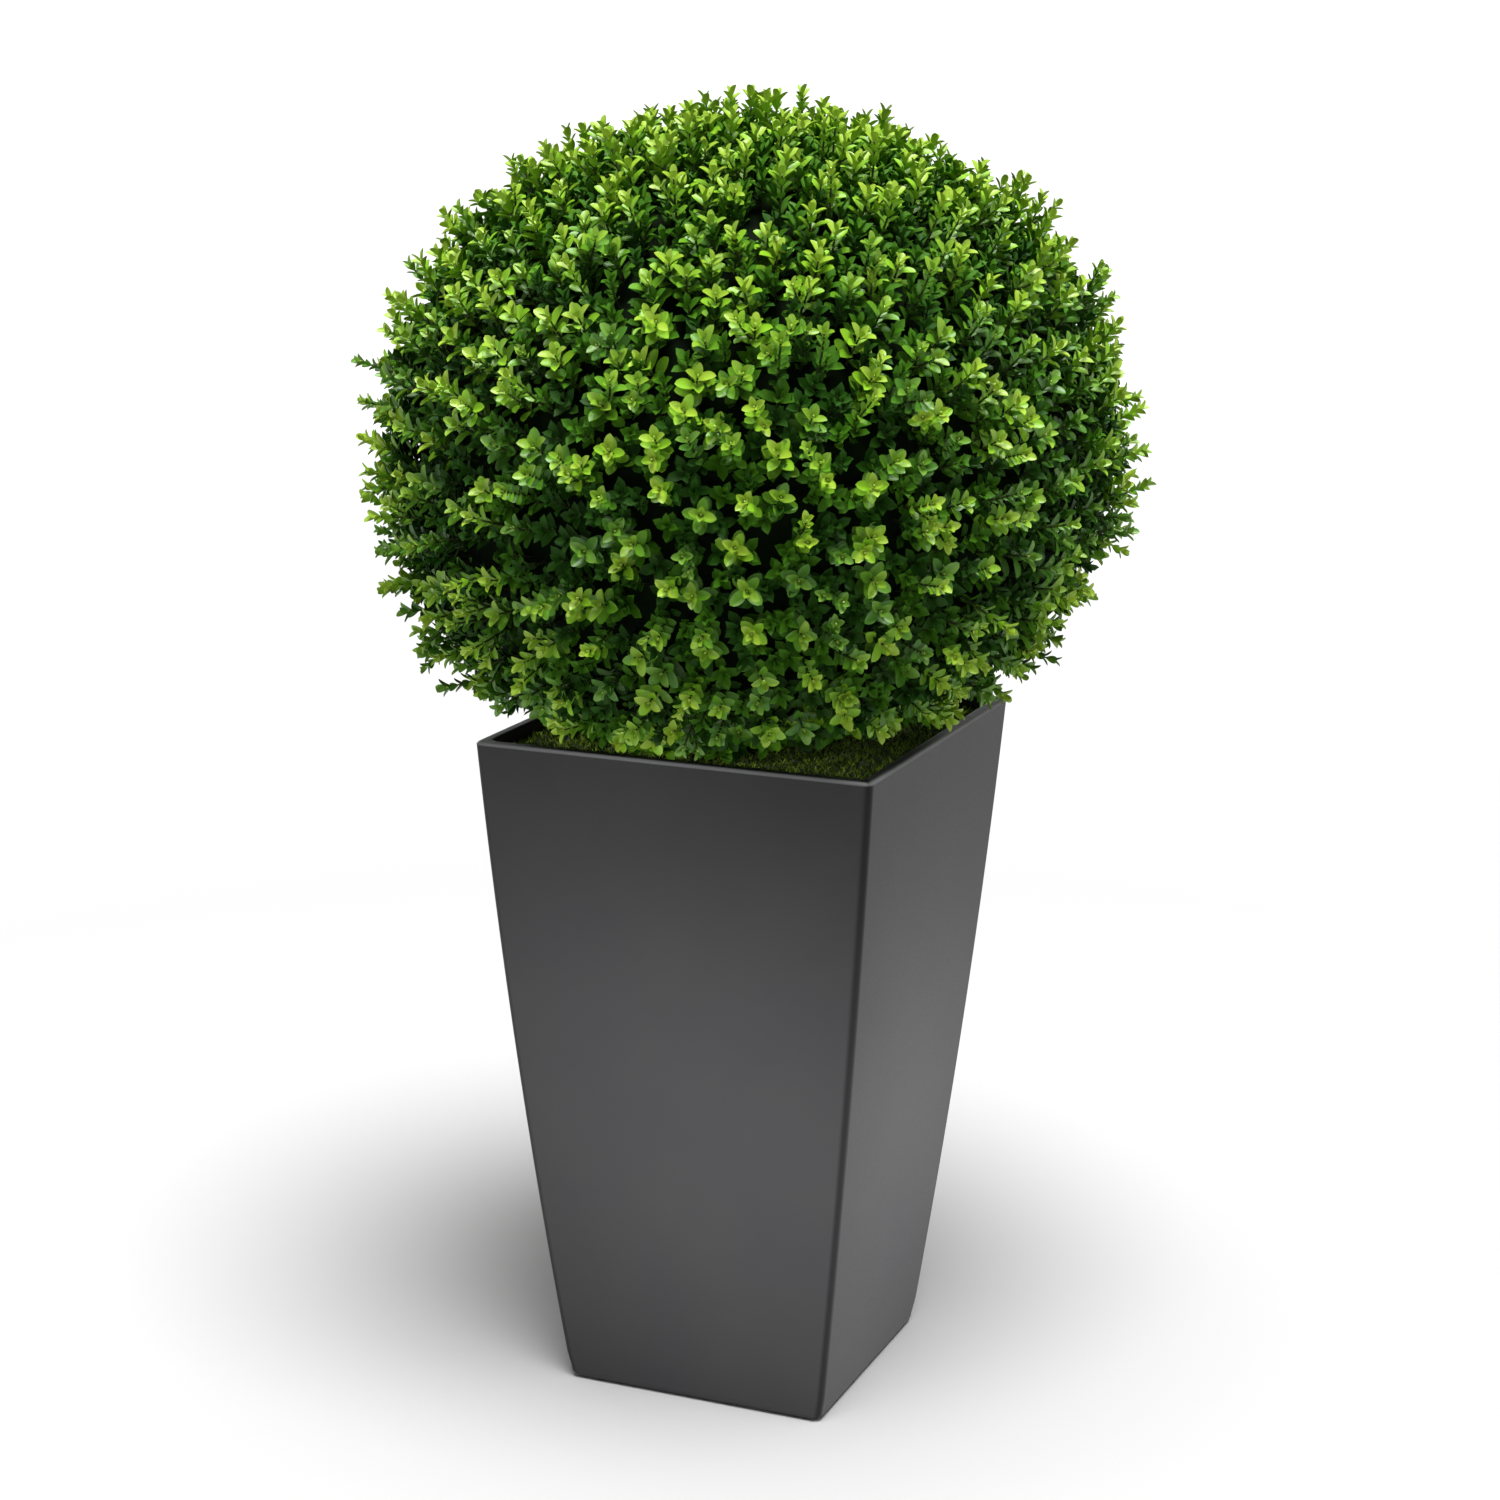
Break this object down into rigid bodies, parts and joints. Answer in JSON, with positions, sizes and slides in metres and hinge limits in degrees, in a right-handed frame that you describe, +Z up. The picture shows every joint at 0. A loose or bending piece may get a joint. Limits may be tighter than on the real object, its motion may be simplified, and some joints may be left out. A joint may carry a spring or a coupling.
{
  "type": "artificial box topiary ball in a tapered planter",
  "caption": "Clipped ball of artificial box foliage on a short stem, set in moss in a tall tapered square planter.",
  "frame": {"origin": "centre of the planter's flat underside, on the ground", "axes": "+Z up along the planter's axis; X and Y square to the planter's faces, which are alike"},
  "size_m": [0.6452, 0.6399, 1.0558],
  "materials": {
    "planter_resin": "satin dark grey moulded resin",
    "potting_mix": "dull bark potting mix",
    "sheet_moss": "dull sheet moss",
    "stem_bark": "dull bark",
    "box_foliage": "satin moulded leaves"
  },
  "bodies": {
    "root": {"planter": "planter_resin", "potting_fill": "potting_mix", "moss": "sheet_moss", "stem": "stem_bark", "foliage_lower": "box_foliage", "foliage_upper": "box_foliage"}
  },
  "joints": []
}
